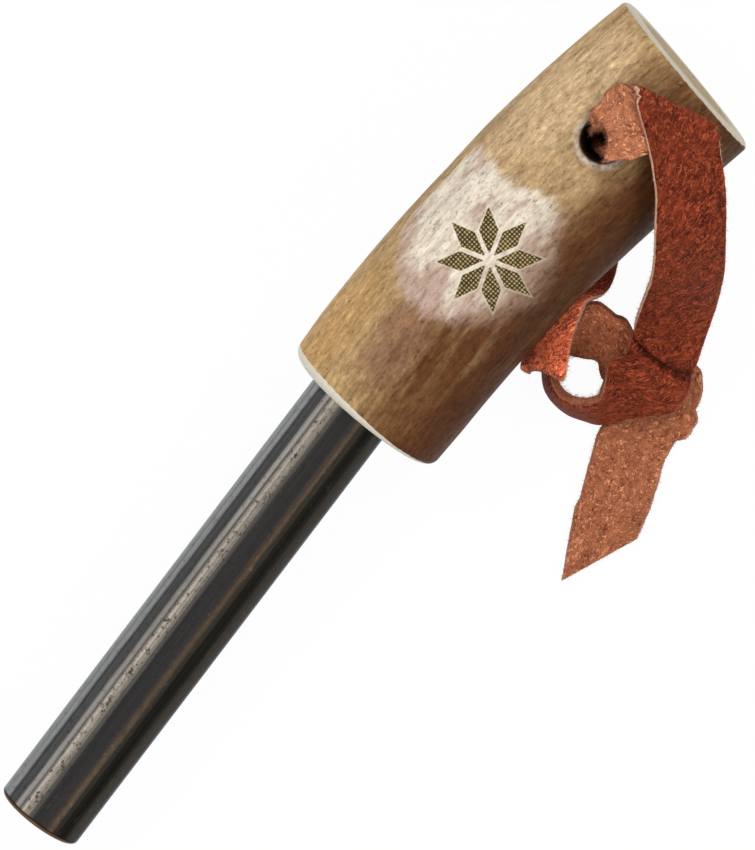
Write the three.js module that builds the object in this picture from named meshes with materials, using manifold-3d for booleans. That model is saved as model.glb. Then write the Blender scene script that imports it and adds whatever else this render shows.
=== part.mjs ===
// Fire starter: an antler handle, a ferrocerium rod glued into it and a leather lace through a cross hole.
// Millimetres, +Z up. The tool lies on a flat surface on the rod's tip and the handle's lower rim.
import * as THREE from "three";
import { mergeVertices } from "three/addons/utils/BufferGeometryUtils.js";
import Module from "manifold-3d";

const wasm = await Module();
wasm.setup();

// Driving dimensions of the rod, which is a stock size, 3/8 by 3 inches.
const rod = {
  diameter: 9.525,
  length: 76.2,
  reach: 55.5, // how far it stands out of the handle
  tipRound: 0.5,
  sides: 48,
};

// The glue is a thin cup between the rod and its blind hole.
const glue = {
  film: 0.3,
  clearance: 0.04, // on each side of the film
  floor: 0.6, // under the rod's hidden end
  recess: 0.5, // below the sawn face
};

// The handle is a sawn length of antler, oval in section and bent a little to one side.
const handle = {
  length: 49,
  width: 20,
  depth: 17.6,
  bendRadius: 215, // of its centreline
  offset: -1.25, // of the centreline from the rod at the sawn face
  rodRim: 1.1, // rounding of the rim around the rod
  buttRim: 0.7,
  oval: 2.12, // exponent of the section, 2 is an ellipse
  buttLeanDegrees: 4.5, // the butt is sawn a little out of square
  rodSlantDegrees: 2.9, // and the face around the rod, to the side
  knobs: 0.14, // how far the natural swellings stand out
  scrape: 0.3, // depth of the flat that is scraped on the front
  scrapeReach: 9, // half length of that flat
  scrapeAt: 22, // its middle, from the sawn face
  drillPointDegrees: 118,
  sides: 48,
  rings: 26,
};

// The lace passes through a cross hole that is square to the rod.
const hole = {
  diameter: 4.6,
  from: 38.8, // along the rod from the sawn face
  aside: -4.2,
  wear: 0.9, // width and depth of the worn mouth
  sides: 36,
};

const lace = {
  width: 7.5,
  thickness: 1.2,
  steps: 80,
  sidePoints: 6, // on each face of the strap
  leastGap: 0.4,
};

const overrun = 3; // how far every cutting tool runs past what it cuts

// The handle's half width and half depth along its length, as shares of the full half sizes.
const widthShares = [
  [0, 0.93],
  [0.1, 0.952],
  [0.3, 0.96],
  [0.5, 0.96],
  [0.62, 0.983],
  [0.78, 0.992],
  [0.9, 0.99],
  [1, 0.982],
];
const depthShares = [
  [0, 0.977],
  [0.3, 0.99],
  [0.55, 1],
  [0.8, 0.988],
  [1, 0.965],
];

// The route of the lace over the surface that the tool lies on, from its cut end to its pointed tail.
// Each place is x, y, z, then the direction across the strap, then the degrees through which it cups,
// then its width as a share of the lace's width.
const route = [
  [14.18, -13.67, 7.73, -0.37, 0.68, -0.63, 115, 0.79], // cut end, over the ring
  [16.20, -12.63, 5.68, -0.47, 0.53, -0.71, 105, 0.86],
  [18.70, -11.91, 4.39, -0.45, 0.43, -0.79, 90, 0.86],
  [21.59, -11.40, 3.79, -0.34, 0.40, -0.85, 70, 0.80],
  [24.40, -10.70, 1.95, -0.22, 0.93, -0.28, 55, 0.90], // under the handle
  [27.20, -9.30, 1.10, -0.25, 0.97, -0.03, 25, 0.95],
  [30.80, -7.70, 0.90, -0.30, 0.95, 0.00, 20, 1.00],
  [34.80, -6.00, 0.95, -0.40, 0.92, 0.00, 30, 1.00],
  [37.90, -4.95, 1.15, -0.44, 0.90, 0.00, 90, 1.00],
  [39.10, -4.25, 1.80, -0.44, 0.90, 0.00, 210, 0.94], // into the hole
  [39.25, -4.20, 3.40, -0.55, 0.83, 0.00, 292, 0.93],
  [38.97, -4.20, 7.50, -0.92, 0.38, 0.00, 292, 0.93],
  [38.69, -4.20, 11.50, -0.98, -0.20, 0.00, 292, 0.93],
  [38.46, -4.20, 15.50, -0.70, -0.71, 0.00, 270, 0.86],
  [38.58, -4.33, 18.20, -0.38, -0.93, 0.00, 225, 0.75], // out of the hole
  [38.95, -4.45, 20.00, -0.40, -0.92, 0.00, 185, 0.78],
  [39.13, -3.94, 21.58, -0.61, -0.79, -0.04, 125, 0.82],
  [40.57, -4.60, 21.51, -0.55, -0.84, -0.04, 30, 1.00],
  [43.00, -6.25, 21.20, -0.12, -0.99, 0.00, 0, 1.00],
  [44.30, -7.10, 21.00, 0.21, -0.98, 0.00, 0, 0.98], // folds over
  [44.98, -7.44, 21.22, 0.21, -0.98, 0.00, 0, 0.98],
  [45.34, -7.87, 21.88, 0.21, -0.98, 0.00, 0, 0.98],
  [45.22, -8.40, 22.56, 0.21, -0.98, 0.00, 0, 0.98],
  [44.68, -8.98, 22.82, 0.21, -0.98, 0.00, 0, 0.98],
  [42.53, -11.59, 21.98, 0.47, -0.88, 0.00, 10, 0.95], // down over the side of the handle
  [39.53, -14.57, 21.34, 0.57, -0.82, -0.01, 12, 0.96],
  [36.31, -16.90, 20.14, 0.58, -0.81, -0.01, 14, 0.97],
  [32.52, -19.30, 15.67, 0.60, -0.80, -0.03, 14, 0.98],
  [28.82, -20.66, 10.16, 0.55, -0.84, -0.03, 12, 1.01],
  [25.68, -21.66, 6.88, 0.41, -0.91, 0.00, 12, 0.99],
  [22.54, -22.86, 4.98, 0.18, -0.98, -0.06, 25, 0.91], // creased at the knot
  [20.26, -23.27, 5.19, -0.07, -0.97, -0.25, 30, 1.02],
  [18.33, -22.19, 5.09, -0.18, -0.89, -0.43, 25, 1.04],
  [16.28, -21.48, 5.24, -0.31, -0.55, -0.78, 20, 0.87], // turns on edge into the ring
  [14.57, -20.94, 4.88, -0.34, -0.26, -0.90, 10, 0.81],
  [13.34, -19.44, 4.22, -0.22, -0.20, -0.96, 10, 0.91],
  [12.77, -17.57, 3.87, -0.22, -0.16, -0.96, 15, 0.90],
  [13.26, -15.43, 3.68, -0.21, -0.02, -0.98, 25, 0.87],
  [15.29, -13.76, 3.42, -0.13, 0.01, -0.99, 40, 0.80],
  [17.23, -13.03, 3.03, -0.29, -0.24, -0.93, 60, 0.78],
  [18.62, -13.28, 2.66, -0.66, -0.36, -0.66, 50, 0.78],
  [19.69, -14.01, 2.42, -0.81, -0.33, -0.48, 30, 0.85], // leans out into the funnel of the ring
  [20.49, -15.23, 2.61, -0.83, -0.31, -0.46, 20, 0.97],
  [20.81, -17.01, 2.54, -0.85, -0.23, -0.48, 20, 0.80],
  [20.01, -19.52, 1.87, -0.94, -0.10, -0.31, 20, 0.81],
  [19.97, -22.71, 1.24, -0.97, 0.19, -0.15, 5, 0.94], // under the crease
  [20.07, -25.43, 0.79, -0.80, 0.60, -0.03, 0, 0.98],
  [18.21, -26.37, 0.72, -0.61, 0.79, -0.01, 0, 0.79],
  [15.91, -25.95, 0.69, -0.36, 0.93, 0.00, 0, 0.88],
  [13.20, -25.78, 0.69, -0.36, 0.93, 0.00, 0, 1.01],
  [10.12, -26.84, 0.69, -0.37, 0.93, 0.00, 0, 1.03],
  [6.87, -28.12, 0.69, -0.54, 0.84, 0.00, 0, 1.00],
  [3.67, -29.46, 0.69, -0.80, 0.60, 0.00, 0, 0.92],
  [1.54, -30.39, 0.69, -0.92, 0.40, 0.00, 0, 0.87], // cut to a point
];

const materials = {
  antler: new THREE.MeshStandardMaterial({ color: 0x9a7a50, roughness: 0.45 }),
  ferrocerium: new THREE.MeshStandardMaterial({ color: 0x3c3c40, roughness: 0.35, metalness: 0.8 }),
  epoxy: new THREE.MeshStandardMaterial({ color: 0x2e2a22, roughness: 0.4 }),
  leather: new THREE.MeshStandardMaterial({ color: 0x8a4028, roughness: 0.8 }),
};

// The value at a share of the length in a table of [share, value] rows, eased between rows.
function along(table, share) {
  let row = 0;
  while (row < table.length - 2 && share > table[row + 1][0]) row += 1;
  const [startShare, start] = table[row];
  const [endShare, end] = table[row + 1];
  const reached = THREE.MathUtils.clamp((share - startShare) / (endShare - startShare), 0, 1);
  return THREE.MathUtils.lerp(start, end, reached);
}

// A closed skin over rings of points, with a flat fan over the first and the last ring.
function skin(rings) {
  const count = rings[0].length;
  const places = rings.flat();
  const faces = [];
  for (let ring = 0; ring < rings.length - 1; ring += 1) {
    for (let side = 0; side < count; side += 1) {
      const next = (side + 1) % count;
      const here = ring * count;
      faces.push(here + side, here + next, here + count + side);
      faces.push(here + next, here + count + next, here + count + side);
    }
  }
  const last = (rings.length - 1) * count;
  const ends = [rings[0], rings[rings.length - 1]];
  const [firstMiddle, lastMiddle] = ends.map((ring, end) => {
    const middle = new THREE.Vector3();
    ring.forEach((place) => middle.addScaledVector(place, 1 / count));
    places.push(middle);
    return rings.length * count + end;
  });
  for (let side = 0; side < count; side += 1) {
    const next = (side + 1) % count;
    faces.push(firstMiddle, next, side);
    faces.push(lastMiddle, last + side, last + next);
  }
  return new THREE.BufferGeometry().setFromPoints(places).setIndex(faces);
}

function solidFrom(geometry) {
  const plain = geometry.clone();
  plain.deleteAttribute("normal");
  plain.deleteAttribute("uv");
  const merged = mergeVertices(plain);
  return new wasm.Manifold(
    new wasm.Mesh({
      numProp: 3,
      vertProperties: merged.getAttribute("position").array,
      triVerts: new Uint32Array(merged.getIndex().array),
    }),
  );
}

function geometryFrom(solid) {
  const mesh = solid.getMesh();
  return new THREE.BufferGeometry()
    .setAttribute("position", new THREE.BufferAttribute(mesh.vertProperties, mesh.numProp))
    .setIndex(new THREE.BufferAttribute(mesh.triVerts, 1));
}

// A turned solid whose axis lies along X. The profile is a list of [radius, x].
function turnedAlongX(profile, sides) {
  const points = profile.map(([radius, x]) => new THREE.Vector2(radius, x));
  return new THREE.LatheGeometry(points, sides).rotateZ(-Math.PI / 2);
}

const rodRadius = rod.diameter / 2;
const buried = rod.length - rod.reach;
const filmInside = rodRadius + glue.clearance;
const filmOutside = filmInside + glue.film;
const boreRadius = filmOutside + glue.clearance;
const filmEnd = buried + glue.clearance + glue.floor;
const boreDepth = filmEnd + glue.clearance;
const holeRadius = hole.diameter / 2;

// The handle's centreline is an arc that leaves the sawn face square to it.
function centreline(distance) {
  const turned = distance / handle.bendRadius;
  return {
    at: new THREE.Vector3(
      handle.bendRadius * Math.sin(turned),
      handle.offset - handle.bendRadius * (1 - Math.cos(turned)),
      0,
    ),
    ahead: new THREE.Vector3(Math.cos(turned), -Math.sin(turned), 0),
    aside: new THREE.Vector3(Math.sin(turned), Math.cos(turned), 0),
  };
}

// One ring of the handle: an oval with slight natural swellings and a scraped flat on the front.
function handleRing(distance, inset) {
  const share = distance / handle.length;
  const { at, ahead, aside } = centreline(distance);
  const lean = THREE.MathUtils.degToRad(handle.buttLeanDegrees) * share ** 3;
  const up = new THREE.Vector3(0, 0, Math.cos(lean)).addScaledVector(ahead, Math.sin(lean));
  const slant = THREE.MathUtils.degToRad(handle.rodSlantDegrees) * (1 - share) ** 3;
  aside.multiplyScalar(Math.cos(slant)).addScaledVector(ahead, Math.sin(slant));
  const halfWidth = (handle.width / 2) * along(widthShares, share) - inset;
  const halfDepth = (handle.depth / 2) * along(depthShares, share) - inset;
  const fromScrape = (distance - handle.scrapeAt) / handle.scrapeReach;
  const scraped = handle.scrape * Math.exp(-(fromScrape ** 4));
  const ring = [];
  for (let side = 0; side < handle.sides; side += 1) {
    const angle = ((side + 1 / 2) / handle.sides) * 2 * Math.PI;
    const [c, s] = [Math.cos(angle), Math.sin(angle)];
    const swell = handle.knobs * share * Math.sin(3 * angle + 5 * share);
    const across = Math.sign(c) * Math.abs(c) ** (2 / handle.oval) * (halfWidth + swell);
    let above = Math.sign(s) * Math.abs(s) ** (2 / handle.oval) * (halfDepth + swell);
    above -= scraped * Math.max(0, s) ** 6;
    ring.push(at.clone().addScaledVector(aside, across).addScaledVector(up, above));
  }
  return ring;
}

// Rings of a rounded rim: how far along the handle they lie and how far in from its skin.
function rimRings(round) {
  const rimSteps = 4;
  return Array.from({ length: rimSteps }, (_, step) => {
    const angle = (step / rimSteps) * (Math.PI / 2);
    return { along: round * (1 - Math.cos(angle)), inset: round * (1 - Math.sin(angle)) };
  });
}

function makeHandle() {
  const rings = rimRings(handle.rodRim).map((rim) => handleRing(rim.along, rim.inset));
  const plainLength = handle.length - handle.rodRim - handle.buttRim;
  for (let ring = 0; ring <= handle.rings; ring += 1) {
    rings.push(handleRing(handle.rodRim + (ring / handle.rings) * plainLength, 0));
  }
  rimRings(handle.buttRim)
    .reverse()
    .forEach((rim) => rings.push(handleRing(handle.length - rim.along, rim.inset)));

  const drillPoint = boreRadius / Math.tan(THREE.MathUtils.degToRad(handle.drillPointDegrees / 2));
  const bore = turnedAlongX(
    [
      [0, -overrun],
      [boreRadius, -overrun],
      [boreRadius, boreDepth],
      [0, boreDepth + drillPoint],
    ],
    rod.sides,
  );

  // The cross hole has a worn mouth on both sides of the handle.
  const mouth = (handle.depth / 2) * along(depthShares, hole.from / handle.length);
  const mouthProfile = [
    [holeRadius + hole.wear + overrun, overrun],
    [holeRadius + hole.wear, 0],
    [holeRadius + hole.wear / 4, -hole.wear / 2],
    [holeRadius, -hole.wear],
  ].map(([radius, above]) => new THREE.Vector2(radius, mouth + above));
  const cross = new THREE.LatheGeometry(
    [
      new THREE.Vector2(0, -mouth - overrun),
      ...mouthProfile.map((point) => new THREE.Vector2(point.x, -point.y)),
      ...mouthProfile.reverse(),
      new THREE.Vector2(0, mouth + overrun),
    ],
    hole.sides,
  )
    .rotateX(Math.PI / 2)
    .translate(hole.from, hole.aside, 0);

  const cut = solidFrom(skin(rings)).subtract(solidFrom(bore)).subtract(solidFrom(cross));
  const mesh = new THREE.Mesh(geometryFrom(cut), materials.antler);
  mesh.name = "antler_handle";
  return mesh;
}

function makeRod() {
  const roundSteps = 4;
  const profile = [[0, 0]];
  for (let step = 0; step <= roundSteps; step += 1) {
    const angle = (step / roundSteps) * (Math.PI / 2);
    profile.push([
      rodRadius - rod.tipRound * (1 - Math.sin(angle)),
      rod.tipRound * (1 - Math.cos(angle)),
    ]);
  }
  profile.push([rodRadius, rod.length], [0, rod.length]);
  const mesh = new THREE.Mesh(turnedAlongX(profile, rod.sides), materials.ferrocerium);
  mesh.name = "ferro_rod";
  mesh.position.x = -rod.reach;
  return mesh;
}

function makeGlue() {
  const mesh = new THREE.Mesh(
    turnedAlongX(
      [
        [0, buried + glue.clearance],
        [filmInside, buried + glue.clearance],
        [filmInside, glue.recess],
        [filmOutside, glue.recess],
        [filmOutside, filmEnd],
        [0, filmEnd],
      ],
      rod.sides,
    ),
    materials.epoxy,
  );
  mesh.name = "epoxy_bond";
  return mesh;
}

// The angle at which the rod's tip and the handle's lower rim touch one flat surface.
function restAngle() {
  const rimShare = along(depthShares, handle.rodRim / handle.length);
  const facetShare = Math.cos(Math.PI / handle.sides) ** (2 / handle.oval); // it lies on a facet
  const rimDepth = (handle.depth / 2) * rimShare * facetShare;
  const drop = rimDepth - handle.rodRim - (rodRadius - rod.tipRound);
  const run = rod.reach - rod.tipRound + handle.rodRim;
  return Math.atan2(drop, run) + Math.asin((handle.rodRim - rod.tipRound) / Math.hypot(drop, run));
}

// One section of the strap: a bent strip with the same number of points on its two faces.
// Where the strap folds over on a slant, the direction across it isn't square to its path.
function laceSection(at, ahead, across, cupDegrees, widthShare) {
  const grain = new THREE.Vector3().crossVectors(ahead, across);
  const stretch = 1 / grain.length();
  grain.normalize();
  const cup = THREE.MathUtils.degToRad(Math.max(cupDegrees, 1));
  const radius = (widthShare * lace.width) / cup;
  const rise = radius * (1 - Math.cos(cup / 2));
  const section = [];
  for (const face of [-1, 1]) {
    for (let point = 0; point < lace.sidePoints; point += 1) {
      const share = point / (lace.sidePoints - 1);
      const angle = cup * (face < 0 ? share - 1 / 2 : 1 / 2 - share);
      const reach = radius + (face * lace.thickness) / 2;
      section.push(
        at
          .clone()
          .addScaledVector(across, stretch * reach * Math.sin(angle))
          .addScaledVector(grain, reach * Math.cos(angle) - radius + rise / 2),
      );
    }
  }
  return section;
}

function laceSections() {
  const path = new THREE.CatmullRomCurve3(route.map(([x, y, z]) => new THREE.Vector3(x, y, z)));
  const acrossPath = new THREE.CatmullRomCurve3(
    route.map(([, , , x, y, z]) => new THREE.Vector3(x, y, z).normalize()),
  );
  const cupRows = route.map((place, index) => [index / (route.length - 1), place[6]]);
  const widthRows = route.map((place, index) => [index / (route.length - 1), place[7]]);
  return Array.from({ length: lace.steps + 1 }, (_, step) => {
    const share = step / lace.steps;
    return laceSection(
      path.getPoint(share),
      path.getTangent(share),
      acrossPath.getPoint(share).normalize(),
      along(cupRows, share),
      along(widthRows, share),
    );
  });
}

// The least distance between points of the strap that lie more than two thicknesses apart along it.
function leastSelfGap(sections) {
  const middles = sections.map((section) =>
    section
      .reduce((sum, place) => sum.add(place), new THREE.Vector3())
      .divideScalar(section.length),
  );
  let run = 0;
  const runs = middles.map((middle, index) => {
    if (index) run += middle.distanceTo(middles[index - 1]);
    return run;
  });
  let least = Infinity;
  sections.forEach((section, first) => {
    for (let second = first + 1; second < sections.length; second += 1) {
      if (runs[second] - runs[first] > 2 * lace.thickness) {
        for (const place of section) {
          for (const other of sections[second]) least = Math.min(least, place.distanceTo(other));
        }
      }
    }
  });
  return { least, length: run };
}

function makeLace() {
  const sections = laceSections();
  const { least, length } = leastSelfGap(sections);
  console.log(`lace: ${length.toFixed(1)} mm long, least gap to itself ${least.toFixed(2)} mm`);
  if (least < lace.leastGap) console.log("lace: the gap is under the least that is wanted");
  const mesh = new THREE.Mesh(skin(sections), materials.leather);
  mesh.name = "lanyard_lace";
  return mesh;
}

const rigid = new THREE.Group();
rigid.add(makeRod(), makeGlue(), makeHandle());
rigid.rotation.y = -restAngle();
rigid.updateMatrixWorld(true);
rigid.position.z = -new THREE.Box3().setFromObject(rigid, true).min.z;
rigid.updateMatrixWorld(true);

// The origin is on the surface, under the middle of the rigid pieces.
const fireStarter = new THREE.Group();
const middle = new THREE.Box3().setFromObject(rigid, true).getCenter(new THREE.Vector3());
fireStarter.add(rigid, makeLace());
fireStarter.position.set(-middle.x, -middle.y, 0);

const restDegrees = THREE.MathUtils.radToDeg(restAngle());
console.log(`rest tilt ${restDegrees.toFixed(3)} degrees, shift ${middle.x.toFixed(4)} ${middle.y.toFixed(4)}`);
console.log(`rod axis at the sawn face: height ${rigid.position.z.toFixed(4)} mm`);

export default fireStarter;
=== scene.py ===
"""A ferro rod fire starter: an antler handle, a glued ferrocerium rod and a leather lace."""

import math

import bmesh
import bpy
import numpy as np
from mathutils import Matrix, Vector


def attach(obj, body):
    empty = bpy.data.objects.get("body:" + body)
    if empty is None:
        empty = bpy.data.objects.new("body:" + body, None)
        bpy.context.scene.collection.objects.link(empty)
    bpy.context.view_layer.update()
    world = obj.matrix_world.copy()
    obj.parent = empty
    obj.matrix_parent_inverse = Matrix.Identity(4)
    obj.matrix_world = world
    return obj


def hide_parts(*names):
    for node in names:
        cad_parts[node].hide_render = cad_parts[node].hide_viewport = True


bl_info = {
    "name": "Ferro Rod Fire Starter",
    "version": (1, 0, 0),
    "blender": (4, 5, 0),
    "location": "3D View > Sidebar > Fire Starter",
    "description": "Antler handle, ferrocerium rod, glue and leather lace with a plain studio",
    "category": "Object",
}

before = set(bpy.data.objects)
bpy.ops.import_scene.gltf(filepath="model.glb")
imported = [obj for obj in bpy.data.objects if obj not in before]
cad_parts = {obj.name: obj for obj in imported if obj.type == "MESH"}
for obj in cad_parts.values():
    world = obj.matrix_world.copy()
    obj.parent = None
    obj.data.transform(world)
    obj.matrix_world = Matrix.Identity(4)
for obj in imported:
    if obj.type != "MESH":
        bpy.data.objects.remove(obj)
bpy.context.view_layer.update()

MM = 0.001

# Where the tool lies: the rod's axis rises from the tip, and its exit is over this place.
REST_TILT = math.radians(3.903)
ROD_EXIT = Vector((2.5811, 4.0909, 8.4996)) * MM

# The route of the lace, from its cut end to its pointed tail, as it lies on the surface.
# Each place is x, y, z from the foot of the rod's exit, the direction across the strap,
# the degrees through which it cups, and its width as a share of the lace's width.
ROUTE = [
    (0.01418, -0.01367, 0.00773, -0.37, 0.68, -0.63, 115, 0.79),  # cut end, over the ring
    (0.01620, -0.01263, 0.00568, -0.47, 0.53, -0.71, 105, 0.86),
    (0.01870, -0.01191, 0.00439, -0.45, 0.43, -0.79, 90, 0.86),
    (0.02159, -0.01140, 0.00379, -0.34, 0.40, -0.85, 70, 0.80),
    (0.02440, -0.01070, 0.00195, -0.22, 0.93, -0.28, 55, 0.90),  # under the handle
    (0.02720, -0.00930, 0.00110, -0.25, 0.97, -0.03, 25, 0.95),
    (0.03080, -0.00770, 0.00090, -0.30, 0.95, 0.00, 20, 1.00),
    (0.03480, -0.00600, 0.00095, -0.40, 0.92, 0.00, 30, 1.00),
    (0.03790, -0.00495, 0.00115, -0.44, 0.90, 0.00, 90, 1.00),
    (0.03910, -0.00425, 0.00180, -0.44, 0.90, 0.00, 210, 0.94),  # into the hole
    (0.03925, -0.00420, 0.00340, -0.55, 0.83, 0.00, 292, 0.93),
    (0.03897, -0.00420, 0.00750, -0.92, 0.38, 0.00, 292, 0.93),
    (0.03869, -0.00420, 0.01150, -0.98, -0.20, 0.00, 292, 0.93),
    (0.03846, -0.00420, 0.01550, -0.70, -0.71, 0.00, 270, 0.86),
    (0.03858, -0.00433, 0.01820, -0.38, -0.93, 0.00, 225, 0.75),  # out of the hole
    (0.03895, -0.00445, 0.02000, -0.40, -0.92, 0.00, 185, 0.78),
    (0.03913, -0.00394, 0.02158, -0.61, -0.79, -0.04, 125, 0.82),
    (0.04057, -0.00460, 0.02151, -0.55, -0.84, -0.04, 30, 1.00),
    (0.04300, -0.00625, 0.02120, -0.12, -0.99, 0.00, 0, 1.00),
    (0.04430, -0.00710, 0.02100, 0.21, -0.98, 0.00, 0, 0.98),  # folds over
    (0.04498, -0.00744, 0.02122, 0.21, -0.98, 0.00, 0, 0.98),
    (0.04534, -0.00787, 0.02188, 0.21, -0.98, 0.00, 0, 0.98),
    (0.04522, -0.00840, 0.02256, 0.21, -0.98, 0.00, 0, 0.98),
    (0.04468, -0.00898, 0.02282, 0.21, -0.98, 0.00, 0, 0.98),
    (0.04253, -0.01159, 0.02198, 0.47, -0.88, 0.00, 10, 0.95),  # down over the side of the handle
    (0.03953, -0.01457, 0.02134, 0.57, -0.82, -0.01, 12, 0.96),
    (0.03631, -0.01690, 0.02014, 0.58, -0.81, -0.01, 14, 0.97),
    (0.03252, -0.01930, 0.01567, 0.60, -0.80, -0.03, 14, 0.98),
    (0.02882, -0.02066, 0.01016, 0.55, -0.84, -0.03, 12, 1.01),
    (0.02568, -0.02166, 0.00688, 0.41, -0.91, 0.00, 12, 0.99),
    (0.02254, -0.02286, 0.00498, 0.18, -0.98, -0.06, 25, 0.91),  # creased at the knot
    (0.02026, -0.02327, 0.00519, -0.07, -0.97, -0.25, 30, 1.02),
    (0.01833, -0.02219, 0.00509, -0.18, -0.89, -0.43, 25, 1.04),
    (0.01628, -0.02148, 0.00524, -0.31, -0.55, -0.78, 20, 0.87),  # turns on edge into the ring
    (0.01457, -0.02094, 0.00488, -0.34, -0.26, -0.90, 10, 0.81),
    (0.01334, -0.01944, 0.00422, -0.22, -0.20, -0.96, 10, 0.91),
    (0.01277, -0.01757, 0.00387, -0.22, -0.16, -0.96, 15, 0.90),
    (0.01326, -0.01543, 0.00368, -0.21, -0.02, -0.98, 25, 0.87),
    (0.01529, -0.01376, 0.00342, -0.13, 0.01, -0.99, 40, 0.80),
    (0.01723, -0.01303, 0.00303, -0.29, -0.24, -0.93, 60, 0.78),
    (0.01862, -0.01328, 0.00266, -0.66, -0.36, -0.66, 50, 0.78),
    (0.01969, -0.01401, 0.00242, -0.81, -0.33, -0.48, 30, 0.85),  # leans out into the funnel of the ring
    (0.02049, -0.01523, 0.00261, -0.83, -0.31, -0.46, 20, 0.97),
    (0.02081, -0.01701, 0.00254, -0.85, -0.23, -0.48, 20, 0.80),
    (0.02001, -0.01952, 0.00187, -0.94, -0.10, -0.31, 20, 0.81),
    (0.01997, -0.02271, 0.00124, -0.97, 0.19, -0.15, 5, 0.94),  # under the crease
    (0.02007, -0.02543, 0.00079, -0.80, 0.60, -0.03, 0, 0.98),
    (0.01821, -0.02637, 0.00072, -0.61, 0.79, -0.01, 0, 0.79),
    (0.01591, -0.02595, 0.00069, -0.36, 0.93, 0.00, 0, 0.88),
    (0.01320, -0.02578, 0.00069, -0.36, 0.93, 0.00, 0, 1.01),
    (0.01012, -0.02684, 0.00069, -0.37, 0.93, 0.00, 0, 1.03),
    (0.00687, -0.02812, 0.00069, -0.54, 0.84, 0.00, 0, 1.00),
    (0.00367, -0.02946, 0.00069, -0.80, 0.60, 0.00, 0, 0.92),
    (0.00154, -0.03039, 0.00069, -0.92, 0.40, 0.00, 0, 0.87),  # cut to a point
]

LACE_ROWS, LACE_SIDES = 930, 47
# Where the lace comes out of the cross hole, in millimetres: its run there and its height.
OUT_RUN, OUT_HEIGHT = 47, 19.8
# How far the cut edges stand outside the plain width, in millimetres: run, left and right.
EDGES = np.array((
    (0, 0, 0), (45, 0, 0), (49, 0.05, 0), (51, 0.1, 0), (53, 0.1, 0), (55, 0, 0), (58, 0, -0.1), (60, 0, 0), (62, 0, 0),
    (114, 0, 0), (116, -0.1, 0), (118, -0.35, 0), (120.5, -0.5, 0), (124, -0.1, 0), (127, 0, 0), (129.2, -0.4, 0),
    (130.4, -0.15, 0), (131, 0.45, 0), (131.4, 0.45, 0), (131.8, -0.3, 0), (132.8, -0.2, -0.15), (134, 0, -0.2),
    (137, 0, -0.35), (140.1, 0, -0.3), (141, 0, 0), (147, 0, 0),
))
# How the cut edges look along the run: 0 pale, 1 as dark as the face beside them.
EDGE_TONES = np.array((
    (0, 0.1), (4, 0.5), (30, 0.7), (40, 1), (55, 1), (57, 0), (88, 0.1), (92, 0.95),
    (124, 0.95), (128, 0.6), (147, 0.6),
))

# Shares of the handle's width and depth along it, from the rod's face to the butt.
WIDTH_SHARES = (
    (0, 0.93), (0.1, 0.952), (0.3, 0.96), (0.5, 0.96), (0.62, 0.983), (0.78, 0.992), (0.9, 0.99), (1, 0.982),
)
DEPTH_SHARES = ((0, 0.977), (0.3, 0.99), (0.55, 1), (0.8, 0.988), (1, 0.965))
OVAL = 2.12
KNOBS = 0.14 * MM
SCRAPE = 0.3 * MM
# The edge of the scraped patch, across the front: along the handle and across it, in millimetres.
PATCH_MIDDLE = np.array((22.3, 1.2))
PATCH_EDGE = np.array((
    (29.0, 8.6), (28.7, 4.4), (30.1, 1.9), (31.3, -0.3), (30.1, -2.6), (27.5, -4.6), (24.1, -6.3),
    (19.6, -5.9), (16.2, -4.2), (14.1, -0.8), (13.3, 3.3), (15.0, 6.6), (18.3, 8.7), (23.5, 9.6),
))
STAR_MIDDLE = 21.9
# The distance that the handle's back is given from the star and the patch, in millimetres.
FAR = 9.0

# Bands along the rod, mostly painted reflections of the lamps and of the dark between them, partly
# ground streaks: from and to as shares of its width seen from the front, then the colour.
ROD_REFLECTION_BANDS = (
    (-0.2, 0.045, 162, 168, 167), (0.045, 0.105, 158, 160, 160), (0.12, 0.20, 78, 78, 80), (0.21, 0.265, 156, 152, 147),
    (0.285, 0.345, 122, 116, 108), (0.345, 0.41, 98, 93, 86), (0.41, 0.45, 80, 77, 75), (0.46, 0.63, 48, 48, 50),
    (0.645, 0.715, 58, 47, 37), (0.715, 0.755, 34, 28, 18), (0.765, 0.885, 13, 12, 8), (0.90, 0.96, 62, 54, 43),
    (0.965, 1.2, 22, 23, 24),
)
BAND_SOFTNESS = 0.018


# ---------------------------------------------------------------- sizes and colours
def metres(name, description, millimetres):
    return bpy.props.FloatProperty(
        name=name, description=description, default=millimetres * MM, unit="LENGTH", subtype="DISTANCE", precision=5
    )


def turn(name, description, degrees):
    return bpy.props.FloatProperty(
        name=name, description=description, default=math.radians(degrees), unit="ROTATION", subtype="ANGLE"
    )


def power(name, description, watts):
    return bpy.props.FloatProperty(name=name, description=description, default=watts, unit="POWER")


def rgb(red, green, blue):
    """A colour as it looks on a screen, 0 to 255, as the linear values that a shader takes."""
    return tuple(
        c / 12.92 if c <= 0.04045 else ((c + 0.055) / 1.055) ** 2.4
        for c in (red / 255, green / 255, blue / 255)
    )


def colour(name, description, *screen):
    return bpy.props.FloatVectorProperty(
        name=name, description=description, default=rgb(*screen), min=0, max=1, size=3, subtype="COLOR"
    )


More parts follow.
